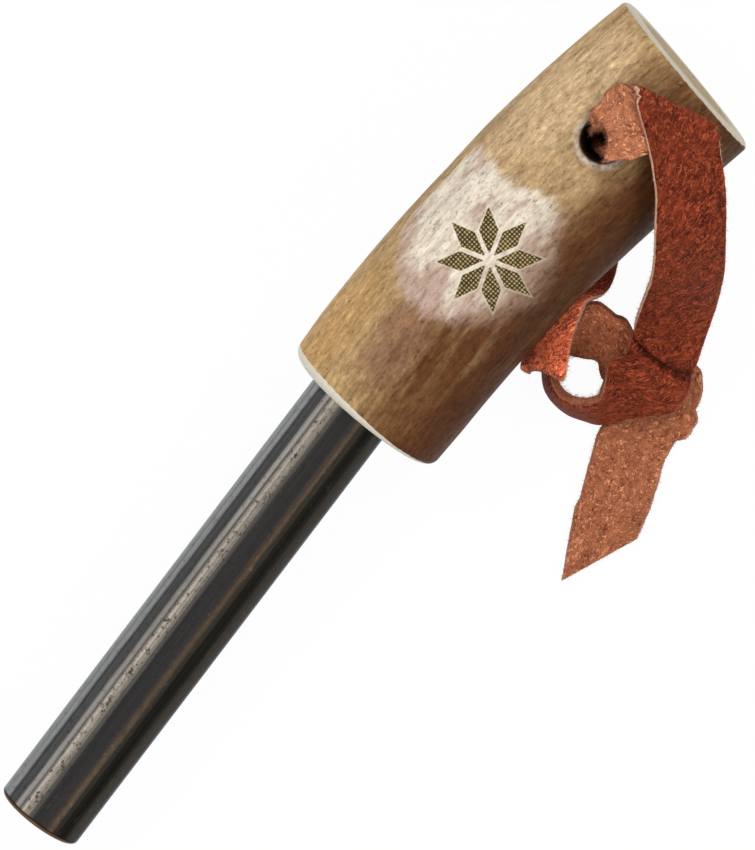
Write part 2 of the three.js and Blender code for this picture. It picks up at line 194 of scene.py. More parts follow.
class AntlerSettings(bpy.types.PropertyGroup):
    length: metres("Length", "Length along the bend", 49)
    width: metres("Width", "Full width of the oval section", 20)
    depth: metres("Depth", "Full depth of the oval section", 17.6)
    bend_radius: metres("Bend radius", "Radius of the bent centreline", 215)
    offset: metres("Offset", "Centreline from the rod at the sawn face", -1.25)
    rod_rim: metres("Rod rim", "Rounding of the rim around the rod", 1.1)
    butt_rim: metres("Butt rim", "Rounding of the rim at the butt", 0.7)
    butt_lean: turn("Butt lean", "How far the butt is sawn out of square", 4.5)
    rod_slant: turn("Rod face slant", "How far the rod's face is sawn out of square", 2.9)
    hole: metres("Hole", "Diameter of the cross hole", 4.6)
    hole_from: metres("Hole place", "Cross hole from the rod's face", 38.8)
    hole_aside: metres("Hole aside", "Cross hole from the rod's axis", -4.2)
    hole_wear: metres("Hole wear", "Width and depth of the worn mouth", 0.9)
    star_radius: metres("Star radius", "Reach of the engraved star", 5.5)
    star_depth: metres("Star depth", "How deep the star is engraved", 0.14)
    skin: colour("Skin", "Ochre of the polished skin", 184, 153, 108)
    shade: colour("Shade", "Brown of the darker grain", 94, 57, 30)
    bone: colour("Bone", "Cream under the scraped skin", 240, 232, 216)
    blush: colour("Blush", "Pink of the scraped bone", 196, 170, 158)
    rim: colour("Rim", "Worn and sawn rims", 228, 222, 208)
    burn: colour("Engraving", "Dark olive of the engraved star", 72, 62, 42)


class RodSettings(bpy.types.PropertyGroup):
    diameter: metres("Diameter", "Diameter of the rod", 9.525)
    length: metres("Length", "Whole length of the rod", 76.2)
    reach: metres("Reach", "How far it stands out of the handle", 55.5)
    tip_round: metres("Tip rounding", "Softened edge of the tip", 0.5)
    metal: colour("Metal", "Ground metal", 46, 46, 47)
    coat: colour("Coat", "Dark film left on the ground metal", 26, 24, 18)


class LaceSettings(bpy.types.PropertyGroup):
    width: metres("Width", "Width of the strap", 7.5)
    thickness: metres("Thickness", "Thickness of the strap", 1.2)
    grain: colour("Grain side", "Red brown of the dyed side", 106, 39, 21)
    flesh: colour("Flesh side", "Pink brown of the fuzzy side", 180, 106, 72)
    cut: colour("Cut edge", "Pale cut edges", 240, 196, 168)


class StageSettings(bpy.types.PropertyGroup):
    floor: colour("Floor", "Colour of the floor", 244, 244, 242)
    key: power("Key lamp", "Power of the key lamp", 6.8)
    fill: power("Fill lamp", "Power of the fill lamp", 4.5)
    above: power("Top lamp", "Power of the lamp above", 5.0)
    ends: power("End lamps", "Power of the end lamps", 1.5)


# ---------------------------------------------------------------- numbers
def lattice_noise(places, size, seed):
    """Smooth noise from -1 to 1 at places, an array of n by 3, with lumps of that size."""
    grid = places / size
    base = np.floor(grid).astype(np.int64)
    part = grid - base
    part = part * part * (3 - 2 * part)
    value = np.zeros(len(places))
    for corner in range(8):
        step = np.array([corner & 1, corner >> 1 & 1, corner >> 2 & 1])
        cell = base + step
        mixed = (cell[:, 0] * 73856093) ^ (cell[:, 1] * 19349663) ^ (cell[:, 2] * 83492791) ^ (seed * 2654435761)
        mixed = (mixed ^ (mixed >> 13)) * 1274126177 & 0x7FFFFFFF
        mixed = (mixed ^ (mixed >> 16)) & 0xFFFF
        weight = np.prod(np.where(step == 1, part, 1 - part), axis=1)
        value += weight * (mixed / 32767.5 - 1)
    return value


def eased(value):
    """0 below 0, 1 above 1 and smooth between."""
    value = np.clip(value, 0, 1)
    return value * value * (3 - 2 * value)


def unit(vectors):
    return vectors / np.linalg.norm(vectors, axis=-1, keepdims=True)


def through(stations, shares):
    """The smooth curve through the stations and its direction, at shares of its parameter."""
    count = len(stations)
    points, ahead = [], []
    for step in shares:
        p = (count - 1) * min(max(step, 0.0), 1.0)
        i = min(int(p), count - 2)
        w = p - i
        x1, x2 = stations[i], stations[i + 1]
        x0 = stations[i - 1] if i > 0 else 2 * x1 - x2
        x3 = stations[i + 2] if i + 2 < count else 2 * x2 - x1
        dt0, dt1, dt2 = (max(np.sum((b - a) ** 2), 0) ** 0.25 for a, b in ((x0, x1), (x1, x2), (x2, x3)))
        dt1 = dt1 if dt1 > 1e-5 else 1.0
        dt0 = dt0 if dt0 > 1e-5 else dt1
        dt2 = dt2 if dt2 > 1e-5 else dt1
        t1 = ((x1 - x0) / dt0 - (x2 - x0) / (dt0 + dt1) + (x2 - x1) / dt1) * dt1
        t2 = ((x2 - x1) / dt1 - (x3 - x1) / (dt1 + dt2) + (x3 - x2) / dt2) * dt1
        c2, c3 = -3 * x1 + 3 * x2 - 2 * t1 - t2, 2 * x1 - 2 * x2 + t1 + t2
        points.append(x1 + t1 * w + c2 * w * w + c3 * w**3)
        ahead.append(t1 + 2 * c2 * w + 3 * c3 * w * w)
    return np.array(points), unit(np.array(ahead))


# ---------------------------------------------------------------- meshes
def mesh_object(name, points, faces, material=None):
    mesh = bpy.data.meshes.new(name)
    mesh.from_pydata(np.asarray(points).tolist(), [], [list(map(int, face)) for face in faces])
    mesh.validate()
    mesh.update()
    mesh.polygons.foreach_set("use_smooth", [True] * len(mesh.polygons))
    made = bpy.data.objects.new(name, mesh)
    bpy.context.scene.collection.objects.link(made)
    if material:
        mesh.materials.append(material)
    return made


def ring_faces(rings, count):
    """Quads between closed rings of points, each of the same count."""
    side = np.arange(count)
    after = (side + 1) % count
    starts = np.arange(rings - 1) * count
    return np.concatenate([np.stack([s + side, s + after, s + count + after, s + count + side], 1) for s in starts])


def loft(name, rings, material=None, turned_over=False):
    """A solid through closed rings of points, with a flat face over the first and the last."""
    count = len(rings[0])
    last = (len(rings) - 1) * count
    faces = [*ring_faces(len(rings), count).tolist(), [*range(count)][::-1], [*range(last, last + count)]]
    if turned_over:
        faces = [face[::-1] for face in faces]
    made = mesh_object(name, np.concatenate(rings), faces, material)
    shape = bmesh.new()
    shape.from_mesh(made.data)
    bmesh.ops.recalc_face_normals(shape, faces=shape.faces[:])
    shape.to_mesh(made.data)
    shape.free()
    return made


def lathe(profile, sides):
    """Rings of points around the Z axis, for a profile of radii and heights."""
    angle = np.arange(sides) / sides * 2 * math.pi
    return [np.stack([r * np.cos(angle), r * np.sin(angle), np.full(sides, h)], -1) for r, h in profile]


def write_field(mesh, name, *values):
    """A named field on the vertices: one number each, or three."""
    kind, key = ("FLOAT", "value") if len(values) == 1 else ("FLOAT_VECTOR", "vector")
    data = np.stack(values, -1).astype(np.float32).ravel()
    mesh.attributes.new(name, kind, "POINT").data.foreach_set(key, data)


def rested(places):
    """From the handle's own axes, rod along X and its exit at the start, to where the tool lies."""
    c, s = math.cos(REST_TILT), math.sin(REST_TILT)
    x, y, z = places[..., 0], places[..., 1], places[..., 2]
    return np.stack([x * c - z * s, y, x * s + z * c], -1) + np.array(ROD_EXIT)


def unrested(places):
    c, s = math.cos(REST_TILT), math.sin(REST_TILT)
    moved = places - np.array(ROD_EXIT)
    x, y, z = moved[..., 0], moved[..., 1], moved[..., 2]
    return np.stack([x * c + z * s, y, -x * s + z * c], -1)


def cut_from(target, cutter):
    """Takes the cutter's solid out of the target and removes the cutter."""
    tool = target.modifiers.new("cut", "BOOLEAN")
    tool.operation, tool.solver, tool.object = "DIFFERENCE", "EXACT", cutter
    evaluated = target.evaluated_get(bpy.context.evaluated_depsgraph_get())
    mesh = bpy.data.meshes.new_from_object(evaluated)
    target.modifiers.clear()
    old, target.data, spare = target.data, mesh, cutter.data
    bpy.data.objects.remove(cutter)
    for unused in (old, spare):
        bpy.data.meshes.remove(unused)
    if len(mesh.polygons) < 100:
        raise RuntimeError("the cut left nothing of " + target.name)


# ---------------------------------------------------------------- material tools
class Wire:
    """An output in a shader tree, worked with like a number."""

    def __init__(self, socket):
        self.socket = socket

    def __getitem__(self, name):
        """Another output of the same node."""
        return Wire(self.socket.node.outputs[name])

    def __add__(self, other):
        return number("ADD", self, other)

    def __sub__(self, other):
        return number("SUBTRACT", self, other)

    def __rsub__(self, other):
        return number("SUBTRACT", other, self)

    def __mul__(self, other):
        return number("MULTIPLY", self, other)


def plug(node, values):
    """Sets the inputs of a node, or links those that another node gives."""
    for name, value in values.items():
        if isinstance(value, Wire):
            node.id_data.links.new(value.socket, node.inputs[name])
        else:
            node.inputs[name].default_value = value


def add(kind, values=None, tree=None, **options):
    """Adds a node to the tree, or to that of the wires it takes, and gives its first output."""
    values = values or {}
    tree = tree or next(value.socket.id_data for value in values.values() if isinstance(value, Wire))
    made = tree.nodes.new(kind)
    for name, value in options.items():
        setattr(made, name, value)
    plug(made, values)
    return Wire(made.outputs[0])


def number(operation, *values):
    return add("ShaderNodeMath", dict(enumerate(values)), operation=operation)


def vector(operation, *values):
    made = add("ShaderNodeVectorMath", dict(enumerate(values)), operation=operation)
    return made["Value" if operation == "LENGTH" else "Vector"]


def stretched(place, by):
    return vector("MULTIPLY", place, by)


def rotated(place, angle):
    return add("ShaderNodeVectorRotate", {"Vector": place, "Angle": angle}, rotation_type="Z_AXIS")


def parts_of(made):
    split = add("ShaderNodeSeparateXYZ", {0: made})
    return split[0], split[1], split[2]


def between(value, low, high, start=0.0, end=1.0):
    """Start below low, end above high and smooth between. Low may be over high."""
    values = {"Value": value, "From Min": low, "From Max": high, "To Min": start, "To Max": end}
    return add("ShaderNodeMapRange", values, interpolation_type="SMOOTHSTEP")


def larger(first, second):
    return number("MAXIMUM", first, second)


def sine(value):
    return number("SINE", value)


def noise(place, scale, detail=2.0, rough=0.5):
    return add("ShaderNodeTexNoise", {"Vector": place, "Scale": scale, "Detail": detail, "Roughness": rough})


def cells(place, scale, feature="F1"):
    return add("ShaderNodeTexVoronoi", {"Vector": place, "Scale": scale}, feature=feature)


def tint(amount, first, second, way="MIX"):
    """The first colour, turned into the second by the amount."""
    first, second = (paint if isinstance(paint, Wire) else (*paint[:3], 1) for paint in (first, second))
    values = {0: amount, 6: first, 7: second}
    return add("ShaderNodeMix", values, data_type="RGBA", blend_type=way, clamp_factor=True)[2]


def relief(height, distance, strength=1.0, under=None):
    values = {"Height": height, "Distance": distance, "Strength": strength}
    return add("ShaderNodeBump", values | ({"Normal": under} if under else {}))


def field(tree, name, kind="Vector"):
    return add("ShaderNodeAttribute", tree=tree, attribute_name=name)[kind]


def new_material(name):
    made = bpy.data.materials.new(name)
    made.use_nodes = True
    tree = made.node_tree
    tree.nodes.clear()
    shader = tree.nodes.new("ShaderNodeBsdfPrincipled")
    plug(tree.nodes.new("ShaderNodeOutputMaterial"), {0: Wire(shader.outputs[0])})
    return made, tree, shader


def seen_straight(tree):
    """1 for what the camera sees directly, in a reflection or through something clear."""
    rays = add("ShaderNodeLightPath", tree=tree)
    return larger(larger(rays["Is Camera Ray"], rays["Is Glossy Ray"]), rays["Is Transmission Ray"])


# ---------------------------------------------------------------- effects in node groups
def grouped(name, build, **given):
    """The value of a node group. The first use makes it, and build draws it from its inputs."""
    made = bpy.data.node_groups.get(name)
    if made is None:
        made = bpy.data.node_groups.new(name, "ShaderNodeTree")
        for label, value in given.items():
            kind = "Vector" if label == "Place" or isinstance(value, tuple) else "Float"
            made.interface.new_socket(label, in_out="INPUT", socket_type="NodeSocket" + kind)
        made.interface.new_socket("Value", in_out="OUTPUT", socket_type="NodeSocketFloat")
        start, end = made.nodes.new("NodeGroupInput"), made.nodes.new("NodeGroupOutput")
        plug(end, {0: build(Wire(start.outputs[0]))})
    return add("ShaderNodeGroup", given, node_tree=made)


def streaks(place, along, across, low, high):
    """Long uneven streaks that run along the first axis."""

    def build(given):
        squeezed = add("ShaderNodeCombineXYZ", {0: given["Along"], 1: given["Across"], 2: given["Across"]})
        return between(noise(stretched(given["Place"], squeezed), 1.0, 3.0, 0.6), given["Low"], given["High"])

    return grouped("streaks", build, Place=place, Along=along, Across=across, Low=low, High=high)


def speckle(place, stretch, fineness):
    """Fine grains, darker and lighter, from -1 to 1 around nothing."""

    def build(given):
        placed = stretched(given["Place"], given["Stretch"])
        both = noise(placed, given["Fineness"]) + noise(placed, given["Fineness"] * 0.37, 1.0)
        return (both - 1.0) * 2.6

    return grouped("speckle", build, Place=place, Stretch=stretch, Fineness=fineness)


def scratches(place, turned, often, breadth, bare):
    """Sparse short scratches, thin and bright."""

    def build(given):
        way = rotated(given["Place"], given["Turn"])
        bent = stretched(noise(way, 0.35, 1.0)["Color"], (1.2, 1.2, 1.2))
        lines = cells(stretched(vector("ADD", way, bent), (0.35, 4.0, 1.0)), given["Often"])
        chance = parts_of(lines["Color"])[0]
        return between(lines, given["Breadth"], given["Breadth"] * 0.4) * between(chance, given["Bare"], 1.0)

    return grouped("scratches", build, Place=place, Turn=turned, Often=often, Breadth=breadth, Bare=bare)


def fibres(place, stretch, curl, fineness):
    """Short curled fibres that lie over each other: 1 along their crests and 0 between them."""

    def build(given):
        bent = vector("SUBTRACT", noise(given["Place"], 0.9)["Color"], (0.5, 0.5, 0.5))
        curled = vector("ADD", given["Place"], stretched(bent, given["Curl"]))
        placed = stretched(curled, given["Stretch"])
        waves = [noise(rotated(placed, way), given["Fineness"] * finer, 1.0) for way, finer in ((0.3, 1.0), (1.5, 1.7))]
        first, second = (between(number("ABSOLUTE", wave - 0.5), 0.055, 0.0) for wave in waves)
        return larger(first, second * 0.9)

    return grouped("fibres", build, Place=place, Stretch=stretch, Curl=curl, Fineness=fineness)


def soft_patch(place, middle, reach):
    """A soft patch around a middle, ragged at its edge."""

    def build(given):
        away = vector("DIVIDE", vector("SUBTRACT", given["Place"], given["Middle"]), given["Reach"])
        uneven = (noise(given["Place"], 0.45, 3.0) - 0.5) * 0.9
        return between(vector("LENGTH", away) + uneven, 1.25, 0.55)

    return grouped("soft patch", build, Place=place, Middle=middle, Reach=reach)


# ---------------------------------------------------------------- camera
def place_camera():
    """The photo's view: from above, a little towards the butt, through a long lens."""
    back = Vector((0.11050848, 0.0, 0.99387518))
    up = Vector((0.79152219, 0.6048, -0.08800895))
    right = up.cross(back).normalized()
    up = back.cross(right).normalized()
    data = bpy.data.cameras.new("photo_camera")
    data.lens, data.sensor_width = 469.04, 36.0
    data.clip_start, data.clip_end = 0.05, 20.0
    camera = bpy.data.objects.new("photo_camera", data)
    bpy.context.scene.collection.objects.link(camera)
    camera.matrix_world = Matrix((right, up, back)).transposed().to_4x4()
    camera.location = Vector((129.2446, 0.6656, 1151.5828)) * MM
    bpy.context.scene.camera = camera


class FIRESTARTER_OT_camera(bpy.types.Operator):
    """Put the camera where the photo was taken"""

    bl_idname = "fire_starter.camera"
    bl_label = "Photo camera"

    def execute(self, context):
        place_camera()
        return {"FINISHED"}


# ---------------------------------------------------------------- leather lace
def lace_line(settings, count):
    """The strap's middle line: places, directions across and square to it, cups and widths."""
    rows = np.array(ROUTE)
    foot = np.array((ROD_EXIT.x, ROD_EXIT.y, 0))
    shares = np.linspace(0, 1, count)
    middle, ahead = through(rows[:, :3] + foot, shares)
    across = unit(through(unit(rows[:, 3:6]), shares)[0])
    stations = np.linspace(0, 1, len(rows))
    cup = np.radians(np.maximum(np.interp(shares, stations, rows[:, 6]), 1))
    radius = np.interp(shares, stations, rows[:, 7]) * settings.width / cup
    grain = np.cross(ahead, across)
    return {
        "middle": middle,
        "across": across / np.linalg.norm(grain, axis=1)[:, None],
        "grain": unit(grain),
        "cup": cup,
        "radius": radius,
        "rise": radius * (1 - np.cos(cup / 2)),
        "run": np.r_[0, np.cumsum(np.linalg.norm(np.diff(middle, axis=0), axis=1))] / MM,
    }


def crease_place(w):
    """Where along the run the strap is creased at the knot, for shares across it."""
    off = w - 0.1
    return 92.45 - np.where(off < 0, 4.6, 2.0) * off * off


def stretch_of(s, start, rise, end, fall):
    """1 on a stretch of the run, from rise past its start until its end, and 0 once it has fallen."""
    return eased((s - start) / rise) * (1 - eased((s - end) / fall))


def strap_places(settings, line, row, w, t):
    """Places on the strap, for rows of its line, shares across it and shares through it."""
    s = line["run"][row]
    mm = settings.width / MM
    flat = np.stack([s, w * mm, t * settings.thickness / MM], 1)
    edge_off, side_of = np.abs(w) * 2, np.sign(w)
    at_edge = edge_off >= 0.999

    # its cut edges waver, are thinned in places and bulge where they are soft
    waver = np.interp(s, EDGES[:, 0], EDGES[:, 1]) * (w < 0) + np.interp(s, EDGES[:, 0], EDGES[:, 2]) * (w >= 0)
    for much, side, depth, size, seed in ((0.055, 9, 0, 2.6, 3), (0.035, 5, 1, 0.5, 4), (0.02, 5, 3, 0.24, 9)):
        waver = waver + much * lattice_noise(np.stack([s, side_of * side, t * depth], 1), size, seed)
    corner = np.clip((edge_off - 0.9) / 0.1, 0, 1)
    soft = stretch_of(s, 42, 3, 88, 3) * (1 - 0.5 * eased((s - 59) / 4)) + 0.6 * stretch_of(s, 108, 4, 124, 3)
    thin = (1 - 0.3 * corner**2.5) * (1 - 0.75 * soft * edge_off**5)
    bulge = 0.1 * (1 - soft) * (1 - (2 * t) ** 2) * at_edge
    rough = 0.02 * lattice_noise(flat, 0.55, 5) + 0.012 * lattice_noise(flat, 0.25, 6)
    fuzz = np.where(t < 0, 0.03 * lattice_noise(flat, 0.35, 7) + 0.03 * lattice_noise(flat, 0.9, 8), 0)

    # it rolls up out of a sharp crease at the knot
    past = s - crease_place(w)
    roll = 0.55 * eased(past / 0.8) * np.exp(-np.maximum(past - 0.8, 0) / 2.6) * (past < 12)
    groove = 0.55 * np.exp(-((past / np.where(past < 0, 0.32, 0.24)) ** 2)) * (t > 0)
    groove = groove * (0.75 + 0.25 * np.clip(-6 * w, -1, 1))

    cup, radius = line["cup"][row], line["radius"][row]
    angle = cup * w * (1 + (waver * edge_off**8 + bulge) / (mm / 2))
    reach = radius + t * thin * settings.thickness + (np.sign(t) * (rough + fuzz) + roll - groove) * MM
    out, up = reach * np.sin(angle), reach * np.cos(angle) - radius + line["rise"][row] / 2
    places = line["middle"][row] + line["across"][row] * out[:, None] + line["grain"][row] * up[:, None]

    # its edge stands up where it folds over beside the hole
    ear = np.interp(s, (53, 54, 55, 56, 57.5), (0, 0.4, 1.0, 0.45, 0)) * eased((-w - 0.1) / 0.4)
    ear += np.interp(s, (56, 57, 58.2, 59.2, 60.5), (0, 0.25, 0.55, 0.15, 0)) * eased((w - 0.2) / 0.3)
    places[:, 0] += ear * MM
    places[:, 2] = np.maximum(places[:, 2], 0.02 * MM)
    return places


def lace_section(sides):
    """The outline of the strap: shares across and through it, flesh face first."""
    across = np.linspace(-0.5, 0.5, sides)
    edge = np.linspace(-0.5, 0.5, 7)[1:-1]
    w = np.concatenate([across, np.full(5, 0.5), across[::-1], np.full(5, -0.5)])
    t = np.concatenate([np.full(sides, -0.5), edge, np.full(sides, 0.5), edge[::-1]])
    return w, t


def make_lace(settings, material):
    line = lace_line(settings, LACE_ROWS)
    section = lace_section(LACE_SIDES)
    row = np.repeat(np.arange(LACE_ROWS), len(section[0]))
    w, t = (np.tile(shares, LACE_ROWS) for shares in section)
    rings = np.split(strap_places(settings, line, row, w, t), LACE_ROWS)
    lace = loft("leather_lace", rings, material, turned_over=True)
    for end in lace.data.polygons[-2:]:
        end.use_smooth = False
    s = line["run"][row]
    past = s - crease_place(w) + 0.25 * lattice_noise(np.stack([s, w * 8, t], 1), 0.5, 12)
    write_field(lace.data, "strap", s, w * settings.width / MM, t + 0.5)
    write_field(lace.data, "edge_tone", np.interp(s, *EDGE_TONES.T))
    # how close each place is to the crease, for the painted shade along it
    write_field(lace.data, "crease_shade", np.exp(-((past / np.where(past < 0, 0.6, 0.3)) ** 2)))
    return lace, line


def make_fibres(settings, line, material):
    """Small curled fibres that stand off the cut edges, the ends and the flesh side."""
    rng = np.random.default_rng(11)
    run = line["run"]
    count, steps, sides = len(run), 5, 3

    def anywhere(many):
        return rng.uniform(-0.5, 0.5, many)

    def rows_from(low, high, many):
        return rng.choice(np.flatnonzero((run > low) & (run < high)), many)

    # each kind: rows, shares across and through, lengths in millimetres, and where it stands off
    kinds = []

    def scatter(kind, row, w, t, shortest, longest):
        kinds.append((row, w, t, rng.uniform(shortest, longest, len(row)), kind))

    many = 1500
    for side in (-0.5, 0.5):
        scatter("edge", rng.integers(0, count, many), np.full(many, side), anywhere(many), 0.14, 0.5)
    many = 1400
    scatter("face", rng.integers(0, count, many), anywhere(many), np.full(many, -0.5), 0.2, 0.6)
    for low, high, many in ((100, 112, 420), (42, 49, 320), (0, 6, 140)):
        side = rng.choice((-0.5, 0.5), many)
        scatter("edge", rows_from(low, high, many), side, anywhere(many), 0.3, 0.85)
    for low, high, last, many in ((99, 109, -0.3, 260), (43.5, 49, 0.5, 420), (60, 92, -0.47, 260)):
        w = rng.uniform(-0.5, last, many)
        scatter("fringe", rows_from(low, high, many), w, np.full(many, -0.5), 0.25, 0.75)
    many = 110
    for end in (0, count - 1):
        scatter("end", np.full(many, end), anywhere(many), anywhere(many), 0.15, 0.45)

    places, shades = [], []
    for row, w, t, length, kind in kinds:
        many = len(row)
        root = strap_places(settings, line, row, w, t)
        if kind == "end":
            inner = strap_places(settings, line, np.where(row == 0, 1, count - 2), w, t)
        elif kind == "edge":
            inner = strap_places(settings, line, row, w * 0.97, t)
        else:
            inner = strap_places(settings, line, row, w, t * 0.6)
        ahead = unit(line["middle"][np.minimum(row + 1, count - 1)] - line["middle"][np.maximum(row - 1, 0)])
        out = unit(root - inner + 1e-9)
        wild = unit(rng.normal(size=(many, 3)))
        off = 0.25 if kind == "face" else 0.75
        way = unit(out * off + wild * 0.75 + ahead * rng.normal(0, 0.5, many)[:, None])
        aside = unit(np.cross(way, rng.normal(size=(many, 3))))
        bends = rng.uniform(0.3, 2.4, many)[:, None] / (steps - 1)
        at = root - out * 0.04 * MM
        square = unit(np.cross(way, aside))
        thick = rng.uniform(0.012, 0.026, many)[:, None] * MM
        rings = []
        for step in range(steps):
            taper = 1 - 0.75 * step / (steps - 1)
            for angle in np.arange(sides) * 2 * math.pi / sides:
                rings.append(at + (square * math.cos(angle) + aside * math.sin(angle)) * thick * taper)
            way, aside = (
                unit(way * np.cos(bends) + aside * np.sin(bends)),
                unit(aside * np.cos(bends) - way * np.sin(bends)),
            )
            at = at + way * (length * MM / (steps - 1))[:, None]
        places.append(np.stack(rings, 1).reshape(-1, 3))
        shades.append(rng.uniform(0, 1, many))
    places, shades = np.concatenate(places), np.concatenate(shades)
    places[:, 2] = np.maximum(places[:, 2], 0.01 * MM)
    starts = np.arange(len(shades)) * steps * sides
    faces = (ring_faces(steps, sides)[None] + starts[:, None, None]).reshape(-1, 4)
    made = mesh_object("lace_fibres", places, faces, material)
    write_field(made.data, "shade", np.repeat(shades, steps * sides))
    return made


def leather(settings):
    made, tree, shader = new_material("split leather")
    strap, tone, crease_shade = field(tree, "strap"), field(tree, "edge_tone", "Fac"), field(tree, "crease_shade", "Fac")
    run, across, through_it = parts_of(strap)
    rim = between(number("ABSOLUTE", across), 3.6, 3.72)
    raw = between(run, 38, 41) * between(run, 56, 54.5)
    flesh = larger(between(through_it, 0.55, 0.1), rim * raw)
    wall = rim * between(through_it, 1.01, 0.9) * between(raw, 0, 1, 1.0, 0.0)
    broad = noise(strap, 0.3)

    # dyed side: dense short strokes, slanted across the strap, with dark pores, and painted lighter at the first end,
    # which lies in shade under the handle and the knot
    slanted = rotated(strap, 0.5)
    strokes = fibres(slanted, (0.5, 1.3, 1), (0.4, 0.4, 0), 2.0)
    mottle = speckle(slanted, (0.55, 1.2, 1), 3.0)
    pores = speckle(slanted, (1, 1.4, 1), 2.2)
    dyed = tint(between(speckle(slanted, (0.6, 1, 1), 1.2), 1.1, -1.1), rgb(72, 22, 12), settings.grain)
    dyed = tint(between(broad, 0.4, 0.7, 0.0, 0.4), dyed, rgb(124, 47, 24))
    dyed = tint(between(mottle, 0.0, 0.9, 0.0, 0.95), dyed, (0.26, 0.22, 0.24), "MULTIPLY")
    # paler mottle and orange fibre crests: partly the leather's own colour, partly painted highlight
    dyed = tint(between(mottle, 0.1, -0.9, 0.0, 0.5), dyed, rgb(182, 82, 48))
    dyed = tint(strokes * 0.7, dyed, rgb(188, 88, 53))
    dyed = tint(between(pores, 0.7, 1.5, 0.0, 0.7), dyed, rgb(38, 14, 10))
    # painted light on the first end, which lies in shade
    dyed = tint(between(run, 12, 7), dyed, (3.8, 4.8, 6.0), "MULTIPLY")

    # flesh side: pale curled fibres over a darker bed, paler at the fold, and painted lighter at the first end and
    # under the knot, where they lie in shade
    curls = fibres(strap, (1, 1, 1), (1.1, 1.1, 0), 1.6)
    bed = speckle(strap, (1, 1, 1), 2.5)
    pale = tint(between(bed, 0.9, -0.6), rgb(98, 42, 25), settings.flesh)
    pale = tint(between(broad, 0.4, 0.7, 0.0, 0.5), pale, rgb(192, 116, 80))
    # pale fibre crests: partly the leather's own colour, partly painted highlight
    pale = tint(curls * 0.85, pale, rgb(222, 146, 108))
    # paler at the fold; painted light on the first end, which lies in shade
    pale = tint(larger(raw, between(run, 9, 4)) * 0.5, pale, (1.6, 1.85, 2.0), "MULTIPLY")
    # painted light under the knot, which lies in shade
    pale = tint(between(run, 113, 118) * between(run, 127, 122), pale, (1.5, 1.4, 1.35), "MULTIPLY")
    body = tint(flesh, dyed, pale)

    # cut edges, pale where they are fresh
    layers = streaks(strap, 0.5, 5.0, 0.35, 0.65)
    dark_cut = tint(layers, rgb(126, 66, 44), rgb(176, 108, 80))
    body = tint(wall, body, tint(tone, tint(layers, rgb(222, 168, 138), settings.cut), dark_cut))
    fresh = between(across + mottle * 0.05, -3.52, -3.6) * between(tone, 0.5, 0.2)
    body = tint(fresh * 0.85, body, settings.cut)
    # painted shade in the crease at the knot
    body = tint(crease_shade * between(mottle, -1, 1, 0.5, 0.9), body, rgb(38, 15, 10))

    nap = add("ShaderNodeMix", {0: flesh, 2: strokes * 0.75 + mottle * -0.3, 3: curls + bed * -0.35})
    fine = relief(pores, 0.00003, 0.5, relief(nap, 0.00016, 0.9))
    rough = between(flesh, 0, 1, 0.66, 0.92)
    plug(shader, {"Base Color": body, "Roughness": rough, "Specular IOR Level": 0.1, "Normal": fine})
    return made


def loose_fibre():
    made, tree, shader = new_material("loose fibre")
    shade = field(tree, "shade", "Fac")
    paint = tint(shade, rgb(120, 58, 36), rgb(214, 150, 116))
    plug(shader, {"Base Color": paint, "Roughness": between(shade, 0, 1, 0.6, 0.85), "Specular IOR Level": 0.2})
    return made


class FIRESTARTER_OT_lace(bpy.types.Operator):
    """Make the leather lace, through the cross hole and looped round itself"""

    bl_idname = "fire_starter.lace"
    bl_label = "Leather lace"

    def execute(self, context):
        settings = context.scene.fire_starter_lace
        lace, line = make_lace(settings, leather(settings))
        fibres = make_fibres(settings, line, loose_fibre())
        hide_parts("lanyard_lace")
        for piece in (lace, fibres):
            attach(piece, "lanyard")
        middle = line["middle"]
        away = np.where(np.abs(line["run"] - OUT_RUN) > 6, 1, np.abs(middle[:, 2] - OUT_HEIGHT * MM))
        middle[::8].tolist() + [middle[-1].tolist()]
        return {"FINISHED"}


# ---------------------------------------------------------------- antler handle
def share_at(table, where):
    return np.interp(where, *np.array(table).T)


def bend(settings, distance):
    turned = distance / settings.bend_radius
    nil = np.zeros_like(turned)
    out = settings.offset - settings.bend_radius * (1 - np.cos(turned))
    at = np.stack([settings.bend_radius * np.sin(turned), out, nil], -1)
    ahead = np.stack([np.cos(turned), -np.sin(turned), nil], -1)
    aside = np.stack([np.sin(turned), np.cos(turned), nil], -1)
    return at, ahead, aside


def handle_skin(settings, distance, angle, inset):
    """Places on the handle's skin, for arrays of distance along the bend, angle around and inset."""
    where = distance / settings.length
    at, ahead, aside = bend(settings, distance)
    lean = (settings.butt_lean * where**3)[..., None]
    up = np.array((0, 0, 1.0)) * np.cos(lean) + ahead * np.sin(lean)
    slant = (settings.rod_slant * (1 - where) ** 3)[..., None]
    aside = aside * np.cos(slant) + ahead * np.sin(slant)
    half_width = settings.width / 2 * share_at(WIDTH_SHARES, where) - inset
    half_depth = settings.depth / 2 * share_at(DEPTH_SHARES, where) - inset
    scraped = SCRAPE * np.exp(-(((distance - 22 * MM) / (9 * MM)) ** 4))
    c, s = np.cos(angle), np.sin(angle)
    swell = KNOBS * where * np.sin(3 * angle + 5 * where)
    across = np.sign(c) * np.abs(c) ** (2 / OVAL) * (half_width + swell)
    above = np.sign(s) * np.abs(s) ** (2 / OVAL) * (half_depth + swell)
    above = above - scraped * np.maximum(0, s) ** 6
    return at + aside * across[..., None] + up * above[..., None]


def along_handle(settings, places):
    """Distance along the bend, across it and above it, in millimetres, of places in the handle's axes."""
    from_centre = places[..., 1] - (settings.offset - settings.bend_radius)
    turned = np.arctan2(places[..., 0], from_centre)
    across = np.hypot(places[..., 0], from_centre) - settings.bend_radius
    return np.stack([turned * settings.bend_radius, across, places[..., 2]], -1) / MM


